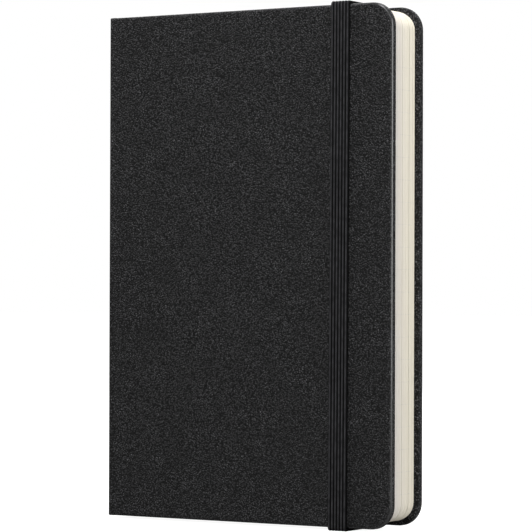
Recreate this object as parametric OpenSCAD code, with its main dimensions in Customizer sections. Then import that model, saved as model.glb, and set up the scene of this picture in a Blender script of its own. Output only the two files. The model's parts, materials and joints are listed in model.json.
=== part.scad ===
// Pocket notebook: a hard cover over sewn pages, with an elastic closure and a rear pocket.
// It stands on its tail edge. X runs from the spine to the fore edge, Y from the front
// cover to the back cover, and Z is up. Lengths are in millimetres.

/* [Cover] */
// Width of each cover, from the spine's face to the fore edge
cover_w = 91.5; // [84:0.5:110]
// Height of each cover
cover_h = 140; // [120:1:160]
// Thickness of the closed notebook over both covers
book_t = 17.5; // [15:0.1:24]
// Thickness of the greyboard in each cover
board_t = 1.8; // [1.4:0.1:2.2]
// Thickness of the leatherette
cloth_t = 0.3; // [0.2:0.05:0.4]
// Thickness of the endpaper pasted inside each cover
endpaper_t = 0.2; // [0.15:0.05:0.3]
// Width of the leatherette turned in round the inside of each cover
turn_in = 2.5; // [2:0.5:6]
// Radius of the covers' corners at the fore edge
corner_r = 6.5; // [3:0.5:10]
// How far the covers stand past the pages at the head, the tail and the fore edge
square_w = 1.4; // [1:0.1:2.5]

/* [Spine] */
// Thickness of the stiffener in the spine
spine_board_t = 1.1; // [0.8:0.1:1.5]
// Clearance between the spine and the round edge of each cover
spine_gap = 0.15; // [0.1:0.05:0.3]
// Thickness of the gauze glued over the folds
lining_t = 0.2; // [0.1:0.05:0.3]
// Radius of the sewing thread
thread_r = 0.12; // [0.1:0.01:0.15]
// Number of sewing stations along the spine
station_count = 6; // [4:1:8]

/* [Pages] */
// Thickness of the loose leaf of each endpaper
flyleaf_t = 0.15; // [0.1:0.05:0.2]
// Width of the strip of each loose leaf that is pasted along the gutter
tip_w = 3; // [2:0.5:4]
// Air left between neighbouring signatures
signature_gap = 0.04; // [0.02:0.01:0.06]
// Width of the ribbon marker
ribbon_w = 5; // [4:0.5:7]
// Thickness of the ribbon marker
ribbon_t = 0.14; // [0.1:0.02:0.16]

/* [Elastic closure] */
// Width of the elastic band
band_w = 6; // [4:0.5:8]
// Thickness of the elastic band
band_t = 0.8; // [0.6:0.1:1]
// Distance from the fore edge to the middle of the band
band_inset = 16; // [12:1:25]
// Distance from the head and from the tail to the slots in the back cover
slot_inset = 8; // [6:1:15]
// Length of band glued inside the back cover, past each slot
tail_l = 12; // [8:1:15]

/* [Pocket] */
// Depth of the closed pocket, between its panel and the back cover
pocket_depth = 1; // [0.8:0.1:1.4]
// Thickness of the pocket's panel
panel_t = 0.35; // [0.2:0.05:0.5]
// Distance from the spine's face to the pocket's mouth
mouth_x = 8; // [7:0.5:20]
// Height of the folded gusset at each end of the pocket
gusset_h = 5; // [4:0.5:8]

/* [Hidden] */
$fn = 64;

leatherette = "#2b2b2d";
greyboard = "#8f8a7d";
paper = "#e9e2d2";
elastic = "#1d1d1f";
gauze = "#d8d4c8";

air = 0.05; // between pieces that lie against each other but move apart
signature_count = 12;
opening_after = 6; // the notebook opens, and holds its ribbon, after this signature

cover_t = cloth_t + board_t + endpaper_t;
inner_y = book_t / 2 - cover_t;
fore_x = cover_w / 2;
tail_z = band_t + air;
head_z = tail_z + cover_h;

hinge_r = cover_t / 2;
hinge_x = -fore_x + hinge_r;
hinge_y = book_t / 2 - hinge_r;

spine_half = inner_y - spine_gap;
spine_in_x = -fore_x + cloth_t + spine_board_t;
thread_x = spine_in_x + lining_t + thread_r;
fold_x = thread_x + thread_r;

page_fore_x = fore_x - square_w;
page_tail_z = tail_z + square_w;
page_head_z = head_z - square_w;
page_r = corner_r - square_w;

front_flyleaf_y = -inner_y + 2 * air;
block_front_y = front_flyleaf_y + flyleaf_t + air;
panel_y = inner_y - pocket_depth - panel_t;
back_flyleaf_y = panel_y - 2 * air - flyleaf_t;
block_back_y = back_flyleaf_y - air;
ribbon_gap = ribbon_t + air;
signature_pitch = (block_back_y - block_front_y - ribbon_gap) / signature_count;
signature_t = signature_pitch - signature_gap;

band_x = fore_x - band_inset;
band_in_y = book_t / 2 + air;
band_out_y = band_in_y + band_t;
overall_h = head_z + air + band_t;

mouth_edge_x = -fore_x + mouth_x;
pocket_in = 0.2; // the pocket stands this far inside the pages' outline
pocket_fore_x = page_fore_x - pocket_in;

// A slab between two Y planes, from an outline drawn in X and Z
module slab(y0, y1) {
    translate([0, y1, 0]) rotate([90, 0, 0]) linear_extrude(y1 - y0) children();
}

// A sheet's outline with square corners at x0 and round corners at x1
module leaf_outline(x0, x1, z0, z1, r) {
    translate([x0, z0]) square([x1 - x0 - r, z1 - z0]);
    translate([x0, z0 + r]) square([x1 - x0, z1 - z0 - 2 * r]);
    for (z = [z0 + r, z1 - r]) translate([x1 - r, z]) circle(r);
}

// The outline of a cover, drawn in by a margin at the head, the tail and the fore edge
module cover_outline(x0, margin) {
    leaf_outline(x0, fore_x - margin, tail_z + margin, head_z - margin, corner_r - margin);
}

module page_outline(x0) {
    leaf_outline(x0, page_fore_x, page_tail_z, page_head_z, page_r);
}

// The back cover is the front cover's mirror image
module to_back() {
    mirror([0, 1, 0]) children();
}

// ---- covers, drawn at the front ----

module cover_board_shape() {
    slab(-book_t / 2 + cloth_t, -inner_y - endpaper_t) cover_outline(hinge_x, cloth_t);
}

module cover_cloth_shape() {
    difference() {
        union() {
            slab(-book_t / 2, -inner_y) cover_outline(hinge_x, 0);
            translate([hinge_x, -hinge_y, tail_z]) cylinder(r = hinge_r, h = cover_h);
        }
        cover_board_shape();
        slab(-inner_y - endpaper_t, -inner_y + 1) cover_outline(hinge_x + turn_in, turn_in);
    }
}

module cover_pastedown_shape() {
    slab(-inner_y - endpaper_t, -inner_y) cover_outline(hinge_x + turn_in, turn_in);
}

module front_board() {
    color(greyboard) cover_board_shape();
}

module front_cloth() {
    color(leatherette) cover_cloth_shape();
}

module front_pastedown() {
    color(paper) cover_pastedown_shape();
}

// One end of the band's way through the back cover, drawn at the head: a slot from the outer
// face and a bed for the band's tail under the endpaper
module band_slot(clearance) {
    slot_z = head_z - slot_inset;
    w = band_w + 2 * clearance;
    h = band_t + 2 * clearance;
    bed_y = inner_y + endpaper_t;
    translate([band_x - w / 2, bed_y, slot_z - h / 2]) cube([w, cover_t, h]);
    translate([band_x - w / 2, bed_y, slot_z - tail_l - clearance])
        cube([w, band_t + 2 * clearance, tail_l + h / 2 + clearance]);
}

// Copies a head-end shape to the tail end
module to_tail() {
    translate([0, 0, tail_z + head_z]) mirror([0, 0, 1]) children();
}

module back_board() {
    color(greyboard) difference() {
        to_back() cover_board_shape();
        band_slot(air);
        to_tail() band_slot(air);
    }
}

module back_cloth() {
    color(leatherette) difference() {
        to_back() cover_cloth_shape();
        band_slot(air);
        to_tail() band_slot(air);
    }
}

module back_pastedown() {
    color(paper) to_back() cover_pastedown_shape();
}

// ---- spine ----

module spine_void() {
    translate([-fore_x + cloth_t, -spine_half, tail_z + cloth_t])
        cube([spine_board_t, 2 * spine_half, cover_h - 2 * cloth_t]);
}

module spine_board() {
    color(greyboard) spine_void();
}

module spine_cloth() {
    color(leatherette) difference() {
        translate([-fore_x, -spine_half, tail_z])
            cube([cloth_t + spine_board_t, 2 * spine_half, cover_h]);
        spine_void();
    }
}

module spine_lining() {
    lining_h = page_head_z - page_tail_z - 6;
    translate([spine_in_x, block_front_y, page_tail_z + 3])
        color(gauze) cube([lining_t, block_back_y - block_front_y, lining_h]);
}

module sewing_threads() {
    span = page_head_z - page_tail_z;
    for (i = [1:station_count])
        translate([thread_x, block_front_y + 0.3, page_tail_z + span * i / (station_count + 1)])
            rotate([-90, 0, 0])
                color(gauze) cylinder(r = thread_r, h = block_back_y - block_front_y - 0.6);
}

// ---- pages ----

function signature_name(i) = str("signature_", i < 10 ? "0" : "", i);

function signature_y(i) =
    block_front_y + signature_pitch * (i - 1) + (i > opening_after ? ribbon_gap : 0);

// Four folded sheets nested in one another, with a round fold at the spine
module signature(i) {
    r = signature_t / 2;
    y0 = signature_y(i);
    color(paper) intersection() {
        translate([0, 0, page_tail_z]) linear_extrude(page_head_z - page_tail_z) {
            translate([fold_x + r, y0]) square([page_fore_x - fold_x - r, signature_t]);
            translate([fold_x + r, y0 + r]) circle(r);
        }
        slab(y0 - 1, y0 + signature_t + 1) page_outline(fold_x - 1);
    }
}

module front_flyleaf() {
    color(paper) slab(front_flyleaf_y, front_flyleaf_y + flyleaf_t) page_outline(fold_x);
}

module back_flyleaf() {
    color(paper) slab(back_flyleaf_y, back_flyleaf_y + flyleaf_t) page_outline(fold_x);
}

// The ribbon is glued at the spine's head and lies between the pages
module ribbon_marker() {
    y0 = signature_y(opening_after) + signature_t + air / 2 + signature_gap / 2;
    lie_x = -12;
    fold_z = page_head_z - 22;
    end_z = page_tail_z + 6;
    slant = 1.2 * ribbon_w;
    color(elastic) slab(y0, y0 + ribbon_t) polygon([
        [fold_x, page_head_z - 1],
        [fold_x, page_head_z - 1 - slant],
        [lie_x - ribbon_w / 2, fold_z],
        [lie_x - ribbon_w / 2, end_z],
        [lie_x + ribbon_w / 2, end_z],
        [lie_x + ribbon_w / 2, fold_z + 2],
    ]);
}

// ---- pocket on the back cover ----

module pocket_outline(margin) {
    leaf_outline(mouth_edge_x, pocket_fore_x - margin, page_tail_z + pocket_in + margin,
        page_head_z - pocket_in - margin, page_r - margin);
}

// The panel turns back against the cover along its fore edge and round its corners
module pocket_panel() {
    color(paper) {
        slab(panel_y, panel_y + panel_t) pocket_outline(0);
        slab(panel_y, inner_y - air) difference() {
            pocket_outline(0);
            pocket_outline(panel_t);
            translate([mouth_edge_x - 1, tail_z]) square([pocket_fore_x - page_r - mouth_edge_x + 1, cover_h]);
        }
    }
}

// Cloth folded flat between the panel and the cover
module pocket_gusset(z0) {
    color(elastic) translate([mouth_edge_x + 2, panel_y + panel_t + air, z0])
        cube([pocket_fore_x - mouth_edge_x - 2 - page_r - air, pocket_depth - 2 * air, gusset_h]);
}

module pocket_gusset_upper() {
    pocket_gusset(page_head_z - pocket_in - gusset_h);
}

module pocket_gusset_lower() {
    pocket_gusset(page_tail_z + pocket_in);
}

// ---- elastic closure ----

// The band's anchored end: down the back face, in through the slot and under the endpaper
module band_end_shape() {
    slot_z = head_z - slot_inset;
    bed_y = inner_y + endpaper_t + air;
    color(elastic) translate([band_x - band_w / 2, 0, 0]) {
        translate([0, band_in_y, slot_z - band_t / 2])
            cube([band_w, band_t, slot_inset + band_t / 2]);
        translate([0, bed_y, slot_z - band_t / 2]) cube([band_w, band_out_y - bed_y, band_t]);
        translate([0, bed_y, slot_z - tail_l]) cube([band_w, band_t, tail_l]);
    }
}

module band_end_upper() {
    band_end_shape();
}

module band_end_lower() {
    to_tail() band_end_shape();
}

// The free loop of the band, over the head, down the front cover and under the tail
module closure_band() {
    r = band_t;
    color(elastic) translate([band_x - band_w / 2, 0, 0])
        rotate([90, 0, 90]) linear_extrude(band_w) difference() {
            union() {
                translate([-band_out_y + r, 0]) square([2 * band_out_y - 2 * r, overall_h]);
                translate([-band_out_y, r]) square([2 * band_out_y, overall_h - 2 * r]);
                for (y = [-band_out_y + r, band_out_y - r], z = [r, overall_h - r])
                    translate([y, z]) circle(r);
            }
            translate([-band_in_y, band_t]) square([3 * band_out_y, overall_h - 2 * band_t]);
        }
}

spine_board();
spine_cloth();
spine_lining();
sewing_threads();
ribbon_marker();
front_board();
front_cloth();
front_pastedown();
front_flyleaf();
for (i = [1:signature_count])
    signature(i);
back_flyleaf();
pocket_panel();
pocket_gusset_upper();
pocket_gusset_lower();
back_board();
back_cloth();
back_pastedown();
band_end_upper();
band_end_lower();
closure_band();
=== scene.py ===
import json
from math import asin, cos, pi, radians, sin

import bmesh
import bpy
from mathutils import Matrix, Vector


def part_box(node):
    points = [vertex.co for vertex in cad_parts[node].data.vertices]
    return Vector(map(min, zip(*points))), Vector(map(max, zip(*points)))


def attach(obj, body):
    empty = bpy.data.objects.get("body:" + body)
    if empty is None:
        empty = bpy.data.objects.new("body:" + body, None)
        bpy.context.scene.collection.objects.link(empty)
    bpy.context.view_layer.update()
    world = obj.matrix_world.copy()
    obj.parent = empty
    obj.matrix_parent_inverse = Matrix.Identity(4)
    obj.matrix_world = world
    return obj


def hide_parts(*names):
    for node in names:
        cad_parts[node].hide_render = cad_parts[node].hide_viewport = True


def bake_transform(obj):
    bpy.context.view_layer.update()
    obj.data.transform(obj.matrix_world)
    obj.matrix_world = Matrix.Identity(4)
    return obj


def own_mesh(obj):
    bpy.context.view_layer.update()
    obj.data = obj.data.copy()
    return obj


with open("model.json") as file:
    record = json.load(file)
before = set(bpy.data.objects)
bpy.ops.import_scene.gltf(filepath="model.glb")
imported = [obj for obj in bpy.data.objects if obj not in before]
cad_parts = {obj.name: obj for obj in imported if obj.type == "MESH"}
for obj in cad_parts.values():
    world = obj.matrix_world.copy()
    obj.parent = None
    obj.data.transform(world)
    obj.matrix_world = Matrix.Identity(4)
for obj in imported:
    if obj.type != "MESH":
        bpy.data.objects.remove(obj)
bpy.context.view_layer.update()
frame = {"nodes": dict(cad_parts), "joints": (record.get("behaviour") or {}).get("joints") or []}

mm = 0.001
nodes = frame["nodes"]


# Places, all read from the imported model
coverLow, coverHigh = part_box("front_cloth")
spineLow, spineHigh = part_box("spine_cloth")
bandLow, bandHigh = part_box("closure_band")
firstLow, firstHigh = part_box("signature_01")
jointNamed = {j["name"]: j for j in frame["joints"]}

tailZ, headZ = coverLow.z, coverHigh.z
midZ = (tailZ + headZ) / 2
outerY = -coverLow.y  # the covers' outer faces stand at plus and minus this
coverT = coverHigh.y - coverLow.y
innerY = outerY - coverT
spineX, foreX = coverLow.x, coverHigh.x
pageTail, pageHead, pageFore = firstLow.z, firstHigh.z, firstHigh.x
bandX = (bandLow.x + bandHigh.x) / 2
bandW = bandHigh.x - bandLow.x
print("frame read")


# Helpers that build shader nodes
def link(tree, a, b):
    tree.links.new(a, b)


def mathNode(tree, kind, a, b=None, clamp=False):
    n = tree.nodes.new("ShaderNodeMath")
    n.operation = kind
    n.use_clamp = clamp
    for i, v in enumerate((a, b)):
        if v is None:
            continue
        if isinstance(v, (int, float)):
            n.inputs[i].default_value = v
        else:
            link(tree, v, n.inputs[i])
    return n.outputs[0]


def mixColour(tree, factor, a, b):
    n = tree.nodes.new("ShaderNodeMix")
    n.data_type = "RGBA"
    for socket, v in ((n.inputs[0], factor), (n.inputs[6], a), (n.inputs[7], b)):
        if isinstance(v, (int, float)):
            socket.default_value = v
        elif isinstance(v, tuple):
            socket.default_value = (*v, 1)
        else:
            link(tree, v, socket)
    return n.outputs[2]


def rangeNode(tree, value, low, high, toLow, toHigh):
    n = tree.nodes.new("ShaderNodeMapRange")
    link(tree, value, n.inputs["Value"])
    for key, v in (("From Min", low), ("From Max", high), ("To Min", toLow), ("To Max", toHigh)):
        n.inputs[key].default_value = v
    return n.outputs["Result"]


def noiseNode(tree, vector, scale, detail=2.0, rough=0.5):
    n = tree.nodes.new("ShaderNodeTexNoise")
    link(tree, vector, n.inputs["Vector"])
    if isinstance(scale, (int, float)):
        n.inputs["Scale"].default_value = scale
    else:
        link(tree, scale, n.inputs["Scale"])
    n.inputs["Detail"].default_value = detail
    n.inputs["Roughness"].default_value = rough
    return n.outputs["Fac"]


def newGroup(name, inputs, outputs):
    g = bpy.data.node_groups.new(name, "ShaderNodeTree")
    for label, kind, default in inputs:
        s = g.interface.new_socket(name=label, in_out="INPUT", socket_type=kind)
        if default is not None:
            s.default_value = default
    for label, kind in outputs:
        g.interface.new_socket(name=label, in_out="OUTPUT", socket_type=kind)
    return g, g.nodes.new("NodeGroupInput"), g.nodes.new("NodeGroupOutput")


def placeGroup(tree, group, **values):
    n = tree.nodes.new("ShaderNodeGroup")
    n.node_tree = group
    for key, v in values.items():
        socket = n.inputs[key]
        if isinstance(v, (int, float)):
            socket.default_value = v
        else:
            link(tree, v, socket)
    return n


# Effects that several materials share
def makePebble():
    g, gi, go = newGroup(
        "pebbleGrain",
        [("Vector", "NodeSocketVector", None), ("Scale", "NodeSocketFloat", 2000.0)],
        [("Height", "NodeSocketFloat"), ("ShadedValley", "NodeSocketFloat"), ("ScuffGlintCrest", "NodeSocketFloat"),
         ("Blotch", "NodeSocketFloat")],
    )
    wobble = g.nodes.new("ShaderNodeTexNoise")
    link(g, gi.outputs["Vector"], wobble.inputs["Vector"])
    link(g, mathNode(g, "MULTIPLY", gi.outputs["Scale"], 0.5), wobble.inputs["Scale"])
    shift = g.nodes.new("ShaderNodeVectorMath")
    shift.operation = "MULTIPLY_ADD"
    link(g, wobble.outputs["Color"], shift.inputs[0])
    shift.inputs[1].default_value = (0.0005, 0.0005, 0.0005)
    link(g, gi.outputs["Vector"], shift.inputs[2])
    cells = g.nodes.new("ShaderNodeTexVoronoi")
    link(g, shift.outputs[0], cells.inputs["Vector"])
    link(g, gi.outputs["Scale"], cells.inputs["Scale"])
    reach = cells.outputs["Distance"]
    chance = g.nodes.new("ShaderNodeSeparateColor")  # a different value for every pebble
    link(g, cells.outputs["Color"], chance.inputs[0])
    dome = rangeNode(g, reach, 0.1, 0.7, 1.0, 0.0)
    tall = mathNode(g, "MULTIPLY", dome, rangeNode(g, chance.outputs[0], 0.0, 1.0, 0.45, 1.0))
    fine = noiseNode(g, gi.outputs["Vector"], mathNode(g, "MULTIPLY", gi.outputs["Scale"], 1.7), 2.0)
    link(g, mathNode(g, "ADD", tall, mathNode(g, "MULTIPLY", fine, 0.3)), go.inputs["Height"])
    # A mask of the hollows between pebbles, which the leather paints darker as shade and makes rougher
    link(g, rangeNode(g, reach, 0.42, 0.66, 0.0, 1.0), go.inputs["ShadedValley"])
    # A mask of the pebble tops, which the leather paints lighter: partly scuffing, partly a painted glint
    scuffGlintCrest = mathNode(g, "MULTIPLY", rangeNode(g, reach, 0.50, 0.2, 0.0, 1.0),
                     rangeNode(g, chance.outputs[1], 0.2, 1.0, 0.0, 1.0))
    link(g, scuffGlintCrest, go.inputs["ScuffGlintCrest"])
    link(g, noiseNode(g, gi.outputs["Vector"], 110.0, 4.0), go.inputs["Blotch"])
    return g


def makeFibre():
    g, gi, go = newGroup(
        "paperFibre",
        [("Vector", "NodeSocketVector", None), ("Scale", "NodeSocketFloat", 900.0)],
        [("Height", "NodeSocketFloat"), ("Cloud", "NodeSocketFloat"), ("Fleck", "NodeSocketFloat")],
    )
    stretch = g.nodes.new("ShaderNodeMapping")
    stretch.inputs["Scale"].default_value = (1.0, 1.0, 0.35)
    link(g, gi.outputs["Vector"], stretch.inputs["Vector"])
    fibre = noiseNode(g, stretch.outputs[0], gi.outputs["Scale"], 5.0, 0.62)
    cloud = noiseNode(g, gi.outputs["Vector"], mathNode(g, "MULTIPLY", gi.outputs["Scale"], 0.12), 3.0)
    fleck = noiseNode(g, gi.outputs["Vector"], mathNode(g, "MULTIPLY", gi.outputs["Scale"], 3.0), 1.0)
    link(g, fibre, go.inputs["Height"])
    link(g, cloud, go.inputs["Cloud"])
    link(g, rangeNode(g, fleck, 0.68, 0.78, 0.0, 1.0), go.inputs["Fleck"])
    return g


def makeWeave():
    g, gi, go = newGroup(
        "threadWeave",
        [("Across", "NodeSocketFloat", 0.0), ("Along", "NodeSocketFloat", 0.0),
         ("Pitch", "NodeSocketFloat", 0.0004), ("Vector", "NodeSocketVector", None)],
        [("Height", "NodeSocketFloat"), ("ShadedGap", "NodeSocketFloat"), ("Thread", "NodeSocketFloat")],
    )
    u = mathNode(g, "DIVIDE", gi.outputs["Across"], gi.outputs["Pitch"])
    v = mathNode(g, "DIVIDE", gi.outputs["Along"], gi.outputs["Pitch"])
    waveU = mathNode(g, "SINE", mathNode(g, "MULTIPLY", u, 2 * pi))
    waveV = mathNode(g, "SINE", mathNode(g, "MULTIPLY", v, 2 * pi))
    over = mathNode(g, "MULTIPLY", waveU, waveV)
    fuzz = noiseNode(g, gi.outputs["Vector"], 5200.0, 2.0)
    height = mathNode(g, "ADD", mathNode(g, "MULTIPLY", over, 0.5), mathNode(g, "MULTIPLY", fuzz, 0.6))
    link(g, height, go.inputs["Height"])
    # The low points between threads, which the cloths and the elastic paint darker as shade
    link(g, rangeNode(g, over, -1.0, -0.2, 1.0, 0.0), go.inputs["ShadedGap"])
    link(g, noiseNode(g, gi.outputs["Vector"], 700.0, 2.0), go.inputs["Thread"])
    return g


pebbleGrain, paperFibre, threadWeave = makePebble(), makeFibre(), makeWeave()


def startMaterial(name, fixed):
    m = bpy.data.materials.new(name)
    m.use_nodes = True
    tree = m.node_tree
    shader = tree.nodes["Principled BSDF"]
    for key, v in fixed.items():
        shader.inputs[key].default_value = v
    place = tree.nodes.new("ShaderNodeTexCoord").outputs["Object"]
    split = tree.nodes.new("ShaderNodeSeparateXYZ")
    link(tree, place, split.inputs[0])
    return m, tree, shader, place, split.outputs


def bump(tree, shader, height, distance, strength=1.0):
    n = tree.nodes.new("ShaderNodeBump")
    n.inputs["Distance"].default_value = distance
    n.inputs["Strength"].default_value = strength
    link(tree, height, n.inputs["Height"])
    link(tree, n.outputs[0], shader.inputs["Normal"])


def readMark(tree, name):
    n = tree.nodes.new("ShaderNodeAttribute")
    n.attribute_name = name
    return n.outputs["Fac"]


leatherLook = {
    "plain": (0.0050, 0.0050, 0.0054),
    # The pebble tops, painted far lighter: partly scuffing, partly a painted glint
    "scuffGlintCrest": (0.165, 0.165, 0.174),
    # Painted shade: the grain's hollows are painted near black
    "shadedValley": (0.0008, 0.0008, 0.0010),
    # Lighter along the rounded edges: partly wear, partly a painted highlight
    "wearAndSheen": (0.040, 0.040, 0.042),
    "grain": 2200.0,
    "grainDepth": 0.00024,
    "roughness": (0.32, 0.44),
    "valleyRoughness": 0.40,  # added where the grain is deep
    "wornRoughness": -0.12,  # added along the rubbed edges
    "polish": 0.8,  # the coat that rubbing leaves there
    "polishRoughness": 0.12,
}


def makeLeather():
    look = leatherLook
    fixed = {"Specular IOR Level": 0.30, "Coat Roughness": look["polishRoughness"]}
    m, tree, shader, place = startMaterial("leatherette", fixed)[:4]
    grain = placeGroup(tree, pebbleGrain, Vector=place, Scale=look["grain"])
    rubbedAndSheen = readMark(tree, "wearAndEdgeSheen")
    flat = mathNode(tree, "SUBTRACT", 1.0, mathNode(tree, "MULTIPLY", rubbedAndSheen, 0.97))
    shadedValley = mathNode(tree, "MULTIPLY", grain.outputs["ShadedValley"], flat)
    patch = rangeNode(tree, grain.outputs["Blotch"], 0.35, 0.65, 0.5, 1.15)
    # Painted glint on the pebble tops, partly scuffing
    scuffGlintCrest = mathNode(tree, "MULTIPLY", grain.outputs["ScuffGlintCrest"], patch)
    scuffGlintCrest = mathNode(tree, "MULTIPLY", scuffGlintCrest, flat)
    colour = mixColour(tree, scuffGlintCrest, look["plain"], look["scuffGlintCrest"])
    # Painted shade in the grain's hollows
    colour = mixColour(tree, mathNode(tree, "MULTIPLY", shadedValley, 0.85), colour, look["shadedValley"])
    # The rounded edges painted lighter: partly wear, partly a painted highlight
    uneven = rangeNode(tree, grain.outputs["Blotch"], 0.25, 0.6, 0.2, 0.6)
    wearAndSheen = mathNode(tree, "MULTIPLY", rubbedAndSheen, uneven)
    link(tree, mixColour(tree, wearAndSheen, colour, look["wearAndSheen"]), shader.inputs["Base Color"])
    rough = rangeNode(tree, grain.outputs["Blotch"], 0.3, 0.7, *look["roughness"])
    rough = mathNode(tree, "ADD", rough, mathNode(tree, "MULTIPLY", shadedValley, look["valleyRoughness"]))
    smoother = mathNode(tree, "MULTIPLY", rubbedAndSheen, look["wornRoughness"])
    link(tree, mathNode(tree, "ADD", rough, smoother, clamp=True), shader.inputs["Roughness"])
    link(tree, mathNode(tree, "MULTIPLY", rubbedAndSheen, look["polish"]), shader.inputs["Coat Weight"])
    bump(tree, shader, mathNode(tree, "MULTIPLY", grain.outputs["Height"], flat), look["grainDepth"])
    return m


elasticLook = {
    # Painted shade: the grooves between ribs are painted near black, and the rib crests get painted
    # highlight lines
    "grooveShade": (0.0004, 0.0004, 0.0005),
    "ribGlint": (0.060, 0.060, 0.064),
    "pitch": 0.00050,
}


def makeElastic():
    look = elasticLook
    m, tree, shader, place, axis = startMaterial("elasticBand", {"Specular IOR Level": 0.08})
    along = mathNode(tree, "ADD", axis[1], axis[2])
    weave = placeGroup(tree, threadWeave, Across=axis[0], Along=along, Pitch=look["pitch"], Vector=place)
    # Rib crests painted bright as painted highlight lines, grooves painted dark as shade
    crown = mathNode(tree, "POWER", readMark(tree, "ribGlint"), 3.0)
    ribGlint = mathNode(tree, "MULTIPLY", crown,
                   rangeNode(tree, weave.outputs["Thread"], 0.3, 0.7, 0.55, 1.25))
    # Painted shade in the gaps of the weave
    weaveGapShade = rangeNode(tree, weave.outputs["ShadedGap"], 0.0, 1.0, 1.0, 0.55)
    ribGlint = mathNode(tree, "MULTIPLY", ribGlint, weaveGapShade, clamp=True)
    link(tree, mixColour(tree, ribGlint, look["grooveShade"], look["ribGlint"]), shader.inputs["Base Color"])
    link(tree, rangeNode(tree, weave.outputs["Thread"], 0.2, 0.8, 0.55, 0.8), shader.inputs["Roughness"])
    bump(tree, shader, weave.outputs["Height"], 0.00006)
    return m


paperLook = {
    "ivory": (0.80, 0.745, 0.62),
    "shade": (0.74, 0.68, 0.56),
    "rule": (0.50, 0.50, 0.47),
    "rulePitch": 0.006,
    "ruleWidth": 0.00018,
}


def makePaper(name, ruled):
    look = paperLook
    m, tree, shader, place, axis = startMaterial(name, {"Specular IOR Level": 0.25})
    fibre = placeGroup(tree, paperFibre, Vector=place, Scale=900.0)
    cloud = rangeNode(tree, fibre.outputs["Cloud"], 0.3, 0.7, 0.0, 0.35)
    colour = mixColour(tree, cloud, look["ivory"], look["shade"])
    if ruled:
        count = mathNode(tree, "DIVIDE", mathNode(tree, "SUBTRACT", axis[2], tailZ), look["rulePitch"])
        offset = mathNode(tree, "SUBTRACT", mathNode(tree, "FRACT", count), 0.5)
        offset = mathNode(tree, "ABSOLUTE", offset)
        line = mathNode(tree, "LESS_THAN", offset, look["ruleWidth"] / look["rulePitch"] / 2)
        lower = mathNode(tree, "LESS_THAN", axis[2], headZ - 0.013)
        upper = mathNode(tree, "GREATER_THAN", axis[2], tailZ + 0.008)
        line = mathNode(tree, "MULTIPLY", mathNode(tree, "MULTIPLY", line, lower), upper)
        ink = mathNode(tree, "MULTIPLY", line,
                       rangeNode(tree, fibre.outputs["Height"], 0.2, 0.6, 0.55, 0.9))
        colour = mixColour(tree, ink, colour, look["rule"])
    link(tree, colour, shader.inputs["Base Color"])
    link(tree, rangeNode(tree, fibre.outputs["Height"], 0.3, 0.7, 0.75, 0.9), shader.inputs["Roughness"])
    bump(tree, shader, fibre.outputs["Height"], 0.00002)
    return m


edgeLook = {
    # The edge is painted greyer and darker near the front cover, as painted shade from its overhang, and
    # warmer further back
    "front": (0.705, 0.668, 0.668),
    "back": (0.87, 0.82, 0.69),
    "shade": (0.70, 0.65, 0.57),
}


def makePageEdge():
    look = edgeLook
    m, tree, shader, place, axis = startMaterial("cutPageEdge", {"Specular IOR Level": 0.2})
    streak = tree.nodes.new("ShaderNodeCombineXYZ")
    link(tree, axis[1], streak.inputs[1])
    link(tree, mathNode(tree, "MULTIPLY", axis[2], 0.02), streak.inputs[2])
    leaves = noiseNode(tree, streak.outputs[0], 4200.0, 2.0)
    bundles = noiseNode(tree, streak.outputs[0], 700.0, 1.0)
    fibre = placeGroup(tree, paperFibre, Vector=place, Scale=1600.0)
    coverShadeFade = rangeNode(tree, axis[1], -innerY, innerY * 0.3, 0.0, 1.0)  # painted shade, fading from the front cover to the middle
    tone = mathNode(tree, "MULTIPLY", rangeNode(tree, leaves, 0.3, 0.7, 0.0, 0.35),
                    rangeNode(tree, bundles, 0.35, 0.65, 0.4, 1.0))
    colour = mixColour(tree, tone, mixColour(tree, coverShadeFade, look["front"], look["back"]), look["shade"])
    link(tree, colour, shader.inputs["Base Color"])
    link(tree, rangeNode(tree, fibre.outputs["Height"], 0.3, 0.7, 0.8, 0.95), shader.inputs["Roughness"])
    bump(tree, shader, fibre.outputs["Height"], 0.00003)
    return m


def makeCloth(name, colour, thread, gapShade, pitch, turned=False, sheen=0.1, roughness=(0.6, 0.8)):
    fixed = {"Sheen Weight": sheen, "Specular IOR Level": 0.3}
    m, tree, shader, place, axis = startMaterial(name, fixed)
    across, along = (axis[1], axis[2]) if turned else (axis[0], mathNode(tree, "ADD", axis[1], axis[2]))
    weave = placeGroup(tree, threadWeave, Across=across, Along=along, Pitch=pitch, Vector=place)
    plain = mixColour(tree, weave.outputs["Thread"], colour, thread)
    # Painted shade in the gaps between threads
    link(tree, mixColour(tree, mathNode(tree, "MULTIPLY", weave.outputs["ShadedGap"], 0.7), plain, gapShade),
         shader.inputs["Base Color"])
    link(tree, rangeNode(tree, weave.outputs["Thread"], 0.2, 0.8, *roughness), shader.inputs["Roughness"])
    bump(tree, shader, weave.outputs["Height"], pitch * 0.2)
    return m


def makeBoard():
    m, tree, shader, place = startMaterial("greyboard", {"Specular IOR Level": 0.2})[:4]
    fibre = placeGroup(tree, paperFibre, Vector=place, Scale=700.0)
    mottle = mixColour(tree, fibre.outputs["Cloud"], (0.30, 0.28, 0.24), (0.22, 0.205, 0.175))
    flecked = mixColour(tree, fibre.outputs["Fleck"], mottle, (0.10, 0.09, 0.08))
    link(tree, flecked, shader.inputs["Base Color"])
    link(tree, rangeNode(tree, fibre.outputs["Height"], 0.3, 0.7, 0.85, 0.95), shader.inputs["Roughness"])
    bump(tree, shader, fibre.outputs["Height"], 0.00005)
    return m


leather = makeLeather()
elastic = makeElastic()
pagePaper = makePaper("ruledPaper", True)
plainPaper = makePaper("endPaper", False)
pageEdge = makePageEdge()
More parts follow.
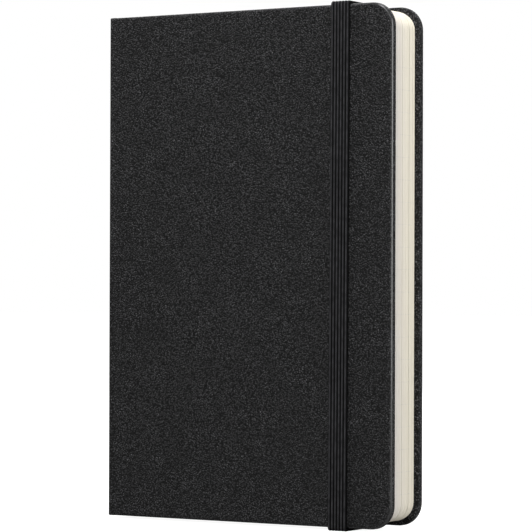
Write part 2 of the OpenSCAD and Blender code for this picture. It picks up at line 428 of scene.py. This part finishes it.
# The third colour of each cloth is the painted shade between its threads
bookcloth = makeCloth("gussetCloth", (0.016, 0.016, 0.018), (0.036, 0.036, 0.038),
                      (0.006, 0.006, 0.007), 0.0005)
satin = makeCloth("ribbonSatin", (0.018, 0.018, 0.02), (0.04, 0.04, 0.043),
                  (0.010, 0.010, 0.011), 0.00022, sheen=0.25, roughness=(0.32, 0.45))
gauze = makeCloth("spineGauze", (0.62, 0.60, 0.55), (0.72, 0.70, 0.64),
                  (0.34, 0.32, 0.28), 0.0009, turned=True)
linen = makeCloth("linenThread", (0.66, 0.63, 0.55), (0.78, 0.75, 0.68), (0.4, 0.38, 0.33), 0.00012)
board = makeBoard()
print("materials made")


# Helpers that build meshes
def addBlock(bm, low, high):
    made = bmesh.ops.create_cube(bm, size=1.0)["verts"]
    size = Vector(high) - Vector(low)
    bmesh.ops.scale(bm, vec=size, verts=made)
    bmesh.ops.translate(bm, vec=(Vector(low) + Vector(high)) / 2, verts=made)
    return made


def near(a, b):
    return abs(a - b) < 1e-6


def sectionFace(bm, corners):
    return [bm.faces.new([bm.verts.new(c) for c in corners])]


def facesIn(geom):
    return [g for g in geom if isinstance(g, bmesh.types.BMFace)]


# Deletes faces that a step of go or turn left inside the solid
def dropInner(bm, faces):
    ours = set(faces)
    rim = [e for f in faces for e in f.edges if sum(g in ours for g in e.link_faces) == 1]
    if all(len(e.link_faces) > 2 for e in rim):
        bmesh.ops.delete(bm, geom=faces, context="FACES")


def go(bm, faces, vector, steps=1):
    for _ in range(steps):
        made = bmesh.ops.extrude_face_region(bm, geom=faces)["geom"]
        moved = [g for g in made if isinstance(g, bmesh.types.BMVert)]
        bmesh.ops.translate(bm, vec=Vector(vector) / steps, verts=moved)
        dropInner(bm, [f for f in faces if f.is_valid])
        faces = facesIn(made)
    return faces


def turn(bm, faces, centre, axis, angle, steps):
    for _ in range(steps):
        made = bmesh.ops.extrude_face_region(bm, geom=faces)["geom"]
        moved = [g for g in made if isinstance(g, bmesh.types.BMVert)]
        bmesh.ops.rotate(bm, cent=centre, matrix=Matrix.Rotation(angle / steps, 3, axis), verts=moved)
        dropInner(bm, [f for f in faces if f.is_valid])
        faces = facesIn(made)
    return faces


def softenEdges(bm, edges, width, segments):
    bmesh.ops.bevel(bm, geom=edges, offset=width, offset_type="OFFSET", segments=segments,
                    profile=0.5, affect="EDGES", material=-1, clamp_overlap=True)


def addPiece(name, bm, materials, sharpAngle=35.0, slots=None):
    bmesh.ops.recalc_face_normals(bm, faces=bm.faces)
    mesh = bpy.data.meshes.new(name)
    if slots:
        for f in bm.faces:
            f.material_index = slots(f)
    bm.to_mesh(mesh)
    bm.free()
    for m in materials:
        mesh.materials.append(m)
    mesh.shade_smooth()
    mesh.set_sharp_from_angle(angle=radians(sharpAngle))
    obj = bpy.data.objects.new(name, mesh)
    bpy.context.scene.collection.objects.link(obj)
    return obj


def flip(point, side):
    return (point[0], point[1] * side, point[2])


# The leatherette case, one piece for each cover and one for the spine
caseSize = {
    "boardStart": 2.2 * mm,  # from the spine's face to where the stiff part of a cover starts
    "cornerRadius": 6.5 * mm,
    "outerRound": 0.75 * mm,
    "innerRound": 0.45 * mm,
    "innerDrop": 0.05 * mm,  # how far the turn-in lies below the endpaper
    "spineCorner": 0.9 * mm,
    "jointThickness": 0.6 * mm,
    "rimRound": 0.4 * mm,
    "jointRim": 0.25 * mm,
    "flatMargin": 0.3 * mm,  # an even margin keeps the shading of the broad faces flat
    "slotHeight": 1.2 * mm,
    "slotDepth": 1.0 * mm,
    "slotRoom": 0.2 * mm,  # between the elastic and each end of its slot
    "slotInset": 8.0 * mm,  # from the cover's head or tail to its slot
}


def makeCoverCase(name, side, body, cadNode):
    c = caseSize
    x0 = spineX + c["boardStart"]
    bm = bmesh.new()
    ys = sorted((-outerY * side, (-innerY - c["innerDrop"]) * side))
    addBlock(bm, (x0, ys[0], tailZ), (foreX, ys[1], headZ))
    corners = [e for e in bm.edges if all(near(v.co.x, foreX) for v in e.verts)
               and near(e.verts[0].co.z, e.verts[1].co.z)]
    softenEdges(bm, corners, c["cornerRadius"], 14)
    for y, width, steps in ((-outerY * side, c["outerRound"], 5),
                            ((-innerY - c["innerDrop"]) * side, c["innerRound"], 3)):
        rim = [e for e in bm.edges if all(near(v.co.y, y) for v in e.verts)
               and not all(near(v.co.x, x0) for v in e.verts)]
        softenEdges(bm, rim, width, steps)
    bm.normal_update()
    broad = [f for f in bm.faces if abs(f.normal.y) > 0.999]
    for f in broad:
        bmesh.ops.inset_region(bm, faces=[f], thickness=c["flatMargin"], use_even_offset=True)
    markWearAndSheen(bm)
    if side < 0:
        cutBandSlots(bm)
    obj = addPiece(name, bm, [leather])
    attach(obj, body)
    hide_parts(cadNode)


# The rounded outer edges are rubbed smooth and painted lighter: partly wear, partly a painted highlight
# along the edge
def markWearAndSheen(bm):
    layer = bm.verts.layers.float.new("wearAndEdgeSheen")
    for v in bm.verts:
        depth = (outerY - abs(v.co.y)) / caseSize["outerRound"]
        if v.co.x > spineX + 2 * caseSize["boardStart"]:
            v[layer] = sin(pi * min(max(depth, 0.0), 1.0)) if depth > 0.001 else 0.0


# Two slots near the head and the tail, where the elastic goes through the back cover
def cutBandSlots(bm):
    c = caseSize
    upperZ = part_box("band_end_upper")[1].z - c["slotInset"]
    lowerZ = tailZ + headZ - upperZ
    halfW, halfH = bandW / 2 + c["slotRoom"], c["slotHeight"] / 2
    cuts = [((bandX + d, 0, 0), (1, 0, 0)) for d in (-halfW, halfW)]
    cuts += [((0, 0, z + d), (0, 0, 1)) for z in (upperZ, lowerZ) for d in (-halfH, halfH)]
    broad = [f for f in bm.faces if f.normal.y > 0.999 and f.calc_area() > 1e-3]
    geom = {g for f in broad for g in (*f.verts, *f.edges, f)}
    for point, normal in cuts:
        made = bmesh.ops.bisect_plane(bm, geom=list(geom), plane_co=point, plane_no=normal)
        geom = set(made["geom"]) | set(made["geom_cut"])
    for z in (upperZ, lowerZ):
        middle = Vector((bandX, outerY, z))
        mouth = [f for f in bm.faces if (f.calc_center_median() - middle).length < 0.02 * mm]
        go(bm, mouth, (0, -c["slotDepth"], 0))


# The soft leatherette that crosses a joint, from the spine's face round to the cover's face
def makeJointStrip(name, side):
    c = caseSize
    r, t = c["spineCorner"], c["jointThickness"]
    bm = bmesh.new()
    startY = spineHigh.y
    face = sectionFace(bm, [flip(p, side) for p in (
        (spineX, -startY, tailZ), (spineX + t, -startY, tailZ),
        (spineX + t, -startY, headZ), (spineX, -startY, headZ))])
    face = go(bm, face, (0, -(outerY - r - startY) * side, 0), 4)
    face = turn(bm, face, (spineX + r, -(outerY - r) * side, midZ), (0, 0, 1), pi / 2 * side, 8)
    face = go(bm, face, (c["boardStart"] - r, 0, 0), 4)
    rims = [e for e in bm.edges if near(e.verts[0].co.z, e.verts[1].co.z)
            and len(e.link_faces) == 2 and any(abs(f.normal.z) > 0.9 for f in e.link_faces)
            and not all(abs(f.normal.z) > 0.9 for f in e.link_faces)]
    ends = [e for e in rims if all(near(v.co.y, -startY * side) for v in e.verts)
            or all(near(v.co.x, spineX + c["boardStart"]) for v in e.verts)]
    softenEdges(bm, [e for e in rims if e not in ends], c["jointRim"], 3)
    obj = addPiece(name, bm, [leather])
    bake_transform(obj)


def makeSpineCase():
    bm = bmesh.new()
    addBlock(bm, spineLow, spineHigh)
    rims = [e for e in bm.edges if near(e.verts[0].co.z, e.verts[1].co.z)
            and not near(e.verts[0].co.y, e.verts[1].co.y)]
    softenEdges(bm, rims, caseSize["rimRound"], 4)
    obj = addPiece("spine_case", bm, [leather])
    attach(obj, "book_block")
    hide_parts("spine_cloth")


makeCoverCase("front_cover_case", 1, "front_cover", "front_cloth")
makeCoverCase("back_cover_case", -1, "back_cover", "back_cloth")
makeJointStrip("front_joint_strip", 1)
makeJointStrip("back_joint_strip", -1)
makeSpineCase()
print("case made")


# Endpapers: pasted leaves on the covers and loose flyleaves
endpaperSize = {
    "thickness": 0.15 * mm,
    "cornerRadius": 4.0 * mm,
    "flyleafBend": {"front": 8.5 * mm, "back": 8.0 * mm},
    "foldThickness": 0.04 * mm,
    "foldRun": 1.8 * mm,
    "foldGap": 0.01 * mm,  # between the fold and the cover's inner face
}


def edgeSlot(f):
    return 0 if abs(f.normal.y) > 0.5 else 1


def roundForeCorners(bm, radius, segments):
    fore = max(v.co.x for v in bm.verts)
    top, low = max(v.co.z for v in bm.verts), min(v.co.z for v in bm.verts)
    corners = [e for e in bm.edges if all(near(v.co.x, fore) for v in e.verts)
               and near(e.verts[0].co.z, e.verts[1].co.z)
               and (near(e.verts[0].co.z, top) or near(e.verts[0].co.z, low))]
    softenEdges(bm, corners, radius, segments)


def makePastedown(name, side, body, cadNode):
    c = endpaperSize
    bm = bmesh.new()
    low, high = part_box(cadNode)
    ys = sorted((-innerY * side, (-innerY - c["thickness"]) * side))
    addBlock(bm, (low.x, ys[0], low.z), (high.x, ys[1], high.z))
    roundForeCorners(bm, c["cornerRadius"], 10)
    obj = addPiece(name, bm, [plainPaper, pageEdge], slots=edgeSlot)
    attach(obj, body)
    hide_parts(cadNode)


# The part of the endpaper that crosses the joint on the inside, folded in the gutter
def makeInnerJoint(name, side, leafY, leafX):
    t, run = endpaperSize["foldThickness"], endpaperSize["foldRun"]
    coverY = innerY - endpaperSize["foldGap"]
    r = (coverY - leafY) / 2
    x0 = leafX + r + run
    bm = bmesh.new()
    face = sectionFace(bm, [flip(p, side) for p in (
        (x0, -coverY, pageTail), (x0, -coverY + t, pageTail),
        (x0, -coverY + t, pageHead), (x0, -coverY, pageHead))])
    face = go(bm, face, (-run, 0, 0), 3)
    face = turn(bm, face, (leafX + r, -(coverY - r) * side, midZ), (0, 0, 1), -pi * side, 12)
    go(bm, face, (run, 0, 0), 3)
    obj = addPiece(name, bm, [plainPaper], sharpAngle=60)
    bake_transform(obj)


def makeFlyleaf(name, cadNode, body, bend):
    low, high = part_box(cadNode)
    pivot = jointNamed[body + "_turn"]["pos_m"][0]
    bm = bmesh.new()
    face = sectionFace(bm, [(low.x, low.y, low.z), (low.x, high.y, low.z),
                            (low.x, high.y, high.z), (low.x, low.y, high.z)])
    face = go(bm, face, (pivot - low.x, 0, 0))
    face = go(bm, face, (bend, 0, 0), 16)
    go(bm, face, (high.x - pivot - bend, 0, 0))
    roundForeCorners(bm, foreCornerRadius, 8)
    obj = addPiece(name, bm, [plainPaper, pageEdge], slots=edgeSlot)
    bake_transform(obj)
    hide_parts(cadNode)


foreCornerRadius = caseSize["cornerRadius"] - (foreX - pageFore)
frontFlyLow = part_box("front_flyleaf")[0]
backFlyLow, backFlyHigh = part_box("back_flyleaf")
makePastedown("front_endpaper", 1, "front_cover", "front_pastedown")
makePastedown("back_endpaper", -1, "back_cover", "back_pastedown")
makeInnerJoint("front_inner_joint", 1, -frontFlyLow.y, frontFlyLow.x)
makeInnerJoint("back_inner_joint", -1, backFlyHigh.y, backFlyLow.x)
makeFlyleaf("front_fly_sheet", "front_flyleaf", "front_flyleaf", endpaperSize["flyleafBend"]["front"])
makeFlyleaf("back_fly_sheet", "back_flyleaf", "back_flyleaf", endpaperSize["flyleafBend"]["back"])
print("endpapers made")


# Signatures, four folded sheets each
sheetSize = {
    "perSignature": 4,
    "air": 0.014 * mm,
    "firstBend": 11.0 * mm,  # length of the finely divided stretch on each side of the fold, in the first signature
    "bendStep": 3.0 * mm,
    "moving": 6,
    # Changes at the two sides of the signatures that aren't pressed evenly
    "creep": {6: (0, 0.04 * mm), 7: (-0.04 * mm, 0), 10: (0, -0.08 * mm), 11: (0.08 * mm, 0)},
}


def sheetSlot(f):
    return 1 if abs(f.normal.z) > 0.5 or f.normal.x > 0.5 else 0


def makeSheet(signature, j):
    c = sheetSize
    cad = "signature_%02d" % signature
    low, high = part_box(cad)
    moving = signature <= c["moving"]
    first, last = c["creep"].get(signature, (0, 0))
    low.y, high.y = low.y + first, high.y + last
    thick = high.y - low.y
    pitch = thick / (2 * c["perSignature"])
    t = pitch - c["air"]
    middle = (low.y + high.y) / 2
    foldX = low.x + thick / 2
    y0 = low.y + j * pitch + c["air"] / 2
    bend = c["firstBend"] + c["bendStep"] * (signature - 1)
    steps = 16 if moving else 1
    length = pageFore - foldX
    bm = bmesh.new()
    face = sectionFace(bm, [(pageFore, y0, pageTail), (pageFore, y0 + t, pageTail),
                            (pageFore, y0 + t, pageHead), (pageFore, y0, pageHead)])
    face = go(bm, face, (-(length - bend), 0, 0))
    face = go(bm, face, (-bend, 0, 0), steps)
    face = turn(bm, face, (foldX, middle, midZ), (0, 0, 1), -pi, 8)
    face = go(bm, face, (bend, 0, 0), steps)
    go(bm, face, (length - bend, 0, 0))
    roundForeCorners(bm, foreCornerRadius, 6)
    obj = addPiece("%s_sheet_%d" % (cad, j + 1), bm, [pagePaper, pageEdge], sharpAngle=50,
                   slots=sheetSlot)
    if moving:
        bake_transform(obj)
    else:
        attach(obj, "book_block")
    if j == 0:
        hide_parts(cad)


for signature in range(1, 13):
    for j in range(sheetSize["perSignature"]):
        makeSheet(signature, j)
print("sheets made")


# The pocket inside the back cover
pocketSize = {
    "clothThickness": 0.1 * mm,
    "foldInset": 0.06 * mm,
    "bendRadius": 0.45 * mm,
    "panelThickness": 0.3 * mm,
    "gussetSteps": 6,  # in each wall of the fold
}


def makePocketPanel():
    c = pocketSize
    low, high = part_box("pocket_panel")
    bm = bmesh.new()
    addBlock(bm, low, high)
    roundForeCorners(bm, foreCornerRadius, 8)
    rim = [e for e in bm.edges if all(near(v.co.y, low.y) for v in e.verts)
           and not all(near(v.co.x, low.x) for v in e.verts)]
    softenEdges(bm, rim, c["bendRadius"], 4)
    bm.normal_update()
    openSides = [f for f in bm.faces
                 if f.normal.y > 0.999 or f.normal.x < -0.999 or abs(f.normal.z) > 0.999]
    bmesh.ops.delete(bm, geom=openSides, context="FACES")
    bmesh.ops.solidify(bm, geom=bm.faces[:], thickness=c["panelThickness"])
    obj = addPiece("pocket_front", bm, [plainPaper])
    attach(obj, "pocket_panel")
    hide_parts("pocket_panel")


# Cloth folded inwards in a V between the pocket's panel and the cover
def makeGusset(name, cadNode, up):
    low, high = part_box(cadNode)
    t = pocketSize["clothThickness"]
    rim, depth = (high.z, -(high.z - low.z)) if up else (low.z, high.z - low.z)
    y0 = low.y + pocketSize["foldInset"]
    halfY = (high.y - low.y - 2 * pocketSize["foldInset"]) / 2
    middle, innerDepth = y0 + halfY, depth * (1 - t / halfY)
    bm = bmesh.new()
    steps = [i / pocketSize["gussetSteps"] for i in range(pocketSize["gussetSteps"] + 1)]
    outer = [(y0 + s * halfY, rim + s * depth) for s in steps]
    inner = [(y0 + t + s * (halfY - t), rim + s * innerDepth) for s in steps]
    outer += [(2 * middle - y, z) for y, z in outer[-2::-1]]
    inner += [(2 * middle - y, z) for y, z in inner[-2::-1]]
    outer, inner = ([bm.verts.new((low.x, y, z)) for y, z in side] for side in (outer, inner))
    section = [bm.faces.new((a, b, d, c)) for a, b, c, d in zip(outer, outer[1:], inner, inner[1:])]
    go(bm, section, (high.x - low.x, 0, 0))
    obj = addPiece(name, bm, [bookcloth])
    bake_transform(obj)
    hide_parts(cadNode)


makePocketPanel()
makeGusset("pocket_cloth_upper", "pocket_gusset_upper", True)
makeGusset("pocket_cloth_lower", "pocket_gusset_lower", False)
print("pocket made")


# Elastic closure
elasticSize = {
    "width": bandW * 0.95,
    "thickness": 0.8 * mm,
    "ribs": 6,
    "ribDepth": 0.24 * mm,
    "edgeDrop": 0.2 * mm,
    "cornerRadius": 0.9 * mm,
    "slotTurn": 0.55 * mm,  # radius where an end turns down into its slot
    "slotTail": 0.9 * mm,
    "lean": 0.3 * mm,  # how far the band stands off true at the head and the tail
}


# The band's cross section, ribbed on its outer side. outward is where that side faces at the start
def bandSection(bm, at, outward):
    c = elasticSize
    ribGlint = bm.verts.layers.float.new("ribGlint")
    made = bmesh.ops.create_grid(bm, x_segments=c["ribs"] * 4, y_segments=1, size=0.5)["verts"]
    bmesh.ops.scale(bm, vec=(c["width"], c["thickness"], 1), verts=made)
    for v in made:
        share = v.co.x / c["width"] + 0.5
        crown = abs(sin(pi * c["ribs"] * share))
        # The crest height, which the elastic's material paints as highlight lines, with shade in the
        # grooves
        v[ribGlint] = crown
        edge = max(0.0, abs(2 * share - 1) - 0.93) / 0.07
        if v.co.y > 0:
            v.co.y -= (1 - crown) ** 1.5 * c["ribDepth"] + edge * c["edgeDrop"] * 0.5
        else:
            v.co.y += edge * c["edgeDrop"] * 0.6
    outward = Vector(outward)
    across = Vector((1, 0, 0))
    basis = Matrix((across, outward, across.cross(outward))).transposed().to_4x4()
    basis.translation = Vector(at)
    bmesh.ops.transform(bm, matrix=basis, verts=made)
    return facesIn({f for v in made for f in v.link_faces})


def leanBand(bm):
    for v in bm.verts:
        v.co.x += elasticSize["lean"] * (v.co.z - midZ) / (headZ - midZ)


def makeBand():
    mid = elasticSize["thickness"] / 2
    r = elasticSize["cornerRadius"]
    yFront, yBack = bandLow.y + mid, bandHigh.y
    zLow, zHigh = bandLow.z + mid, bandHigh.z - mid
    inner = r - mid
    bm = bmesh.new()
    face = bandSection(bm, (bandX, yBack, zHigh), (0, 0, 1))
    face = go(bm, face, (0, yFront + r - mid - yBack, 0), 8)
    centre = (bandX, yFront + r - mid, zHigh - (r - mid))
    face = turn(bm, face, centre, (1, 0, 0), pi / 2, 6)
    face = go(bm, face, (0, 0, -(zHigh - zLow - 2 * inner)), 24)
    centre = (bandX, yFront + r - mid, zLow + (r - mid))
    face = turn(bm, face, centre, (1, 0, 0), pi / 2, 6)
    go(bm, face, (0, yBack - (yFront + r - mid), 0), 8)
    leanBand(bm)
    obj = addPiece("closure_elastic", bm, [elastic], sharpAngle=50)
    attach(obj, "closure_band")
    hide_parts("closure_band")
    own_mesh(obj)


# The fixed end of the band, from the edge of the back cover down into its slot
def makeBandEnd(name, cadNode, up):
    low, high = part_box(cadNode)
    y = high.y - elasticSize["thickness"] / 2
    sign = 1 if up else -1
    rim = high.z if up else low.z
    r = elasticSize["slotTurn"]
    slotZ = rim - caseSize["slotInset"] * sign
    bm = bmesh.new()
    face = bandSection(bm, (bandX, y, rim), (0, 1, 0))
    face = go(bm, face, (0, 0, slotZ + r * sign - rim), 4)
    face = turn(bm, face, (bandX, y - r, slotZ + r * sign), (1, 0, 0), pi / 2 * sign, 6)
    go(bm, face, (0, -elasticSize["slotTail"], 0))
    leanBand(bm)
    obj = addPiece(name, bm, [elastic], sharpAngle=50)
    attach(obj, "back_cover")
    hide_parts(cadNode)


makeBand()
makeBandEnd("elastic_end_upper", "band_end_upper", True)
makeBandEnd("elastic_end_lower", "band_end_lower", False)
print("elastic made")


# Ribbon marker
ribbonSize = {
    "width": 5.0 * mm,
    "thickness": 0.1 * mm,
    "lieX": -12.0 * mm,  # where the ribbon comes to lie straight
    "headRun": 22.0 * mm,
    "tailGap": 6.0 * mm,
}


def makeRibbon():
    c = ribbonSize
    low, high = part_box("ribbon_marker")
    y = (low.y + high.y) / 2
    start = Vector((low.x + 0.4 * mm, y, pageHead - 4.0 * mm))
    bendAt = Vector((c["lieX"], y, pageHead - c["headRun"]))
    run = bendAt - start
    lean = asin(run.x / run.length)
    bm = bmesh.new()
    made = bmesh.ops.create_grid(bm, x_segments=8, y_segments=1, size=0.5)["verts"]
    bmesh.ops.scale(bm, vec=(c["width"], c["thickness"], 1), verts=made)
    for v in made:
        if abs(v.co.x) > c["width"] * 0.49:
            v.co.y *= 0.5
    bmesh.ops.rotate(bm, cent=(0, 0, 0), matrix=Matrix.Rotation(-lean, 3, "Y"), verts=made)
    bmesh.ops.translate(bm, vec=start, verts=made)
    face = facesIn({f for v in made for f in v.link_faces})
    face = go(bm, face, run * 0.9, 10)
    turnR = c["width"] * 1.2
    across = Vector((cos(lean), 0, sin(lean)))
    here = start + run * 0.9
    face = turn(bm, face, here - across * turnR, (0, 1, 0), lean, 8)
    endZ = min(v.co.z for f in face for v in f.verts)
    go(bm, face, (0, 0, pageTail + c["tailGap"] - endZ), 30)
    obj = addPiece("ribbon", bm, [satin], sharpAngle=60)
    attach(obj, "book_block")
    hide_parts("ribbon_marker")


makeRibbon()


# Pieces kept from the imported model
for name, material in (("front_board", board), ("back_board", board), ("spine_board", board),
                       ("spine_lining", gauze), ("sewing_threads", linen)):
    for slot in nodes[name].material_slots:
        slot.material = material
print("kept pieces finished")


# Floor, lights and camera
stageLook = {"floor": (0.30, 0.30, 0.30), "floorGlow": 0.95, "sky": 0.22}


def makeFloor():
    bm = bmesh.new()
    bmesh.ops.create_grid(bm, x_segments=1, y_segments=1, size=6.0)
    mesh = bpy.data.meshes.new("floor")
    bm.to_mesh(mesh)
    bm.free()
    m = bpy.data.materials.new("paleFloor")
    m.use_nodes = True
    tree = m.node_tree
    shader = tree.nodes["Principled BSDF"]
    shader.inputs["Base Color"].default_value = (*stageLook["floor"], 1)
    shader.inputs["Roughness"].default_value = 0.9
    shader.inputs["Emission Color"].default_value = (1, 1, 1, 1)
    ray = tree.nodes.new("ShaderNodeLightPath")
    glow = mathNode(tree, "MULTIPLY", ray.outputs["Is Camera Ray"], stageLook["floorGlow"])
    link(tree, glow, shader.inputs["Emission Strength"])
    mesh.materials.append(m)
    obj = bpy.data.objects.new("floor", mesh)
    bpy.context.scene.collection.objects.link(obj)


# From the middle of the notebook: azimuth in degrees from the front, height and distance in metres
lightSet = {
    "pageSide": {"azimuth": 84.0, "height": -0.02, "distance": 0.70, "size": (0.35, 0.90), "power": 5.7},
    "cornerTop": {"azimuth": 17.0, "height": 0.66, "distance": 0.20, "size": (0.20, 0.20), "power": 3.4},
    "frontTop": {"azimuth": 14.0, "height": 0.50, "distance": 0.42, "size": (0.40, 0.30), "power": 2.0},
    "leftSide": {"azimuth": -75.0, "height": 0.10, "distance": 0.90, "size": (0.40, 0.80), "power": 0.9},
    "behind": {"azimuth": 200.0, "height": 0.40, "distance": 0.90, "size": (0.60, 0.60), "power": 4.6},
}


def makeLights():
    aim = Vector((0, 0, midZ))
    for name, c in lightSet.items():
        data = bpy.data.lights.new(name, "AREA")
        data.shape = "RECTANGLE"
        data.size, data.size_y = c["size"]
        data.energy = c["power"]
        obj = bpy.data.objects.new(name, data)
        a = radians(c["azimuth"])
        obj.location = aim + Vector((sin(a) * c["distance"], -cos(a) * c["distance"], c["height"]))
        obj.rotation_mode = "QUATERNION"
        obj.rotation_quaternion = (aim - obj.location).to_track_quat("-Z", "Y")
        bpy.context.scene.collection.objects.link(obj)


def makeWorld():
    world = bpy.data.worlds.new("studio")
    world.use_nodes = True
    tree = world.node_tree
    soft = tree.nodes["Background"]
    soft.inputs["Color"].default_value = (1, 1, 1, 1)
    soft.inputs["Strength"].default_value = stageLook["sky"]
    seen = tree.nodes.new("ShaderNodeBackground")
    seen.inputs["Strength"].default_value = 1.0
    seen.inputs["Color"].default_value = (1, 1, 1, 1)
    ray = tree.nodes.new("ShaderNodeLightPath")
    mix = tree.nodes.new("ShaderNodeMixShader")
    link(tree, ray.outputs["Is Camera Ray"], mix.inputs[0])
    link(tree, soft.outputs[0], mix.inputs[1])
    link(tree, seen.outputs[0], mix.inputs[2])
    link(tree, mix.outputs[0], tree.nodes["World Output"].inputs[0])
    bpy.context.scene.world = world


cameraSetup = {
    "azimuth": 31.94,
    "elevation": -0.572,
    "roll": -0.187,
    "distance": 0.7373,
    "lens": 182.8,
    "aside": -0.0056,
}


def makeCamera():
    c = cameraSetup
    az, el, roll = radians(c["azimuth"]), radians(c["elevation"]), radians(c["roll"])
    ahead = Vector((-sin(az) * cos(el), cos(az) * cos(el), -sin(el)))
    level = Vector((cos(az), sin(az), 0))
    upright = level.cross(ahead)
    right = level * cos(roll) - upright * sin(roll)
    above = level * sin(roll) + upright * cos(roll)
    data = bpy.data.cameras.new("camera")
    data.lens = c["lens"]
    data.sensor_width = 36.0
    data.clip_start, data.clip_end = 0.01, 20.0
    obj = bpy.data.objects.new("camera", data)
    bpy.context.scene.collection.objects.link(obj)
    aim = Vector((0, -outerY, midZ))
    turned = Matrix((right, above, -ahead)).transposed().to_4x4()
    turned.translation = aim - right * c["aside"] - ahead * c["distance"]
    obj.matrix_world = turned
    bpy.context.scene.camera = obj


makeFloor()
makeLights()
makeWorld()
makeCamera()
bpy.context.scene.view_settings.view_transform = "Standard"
print("stage set")
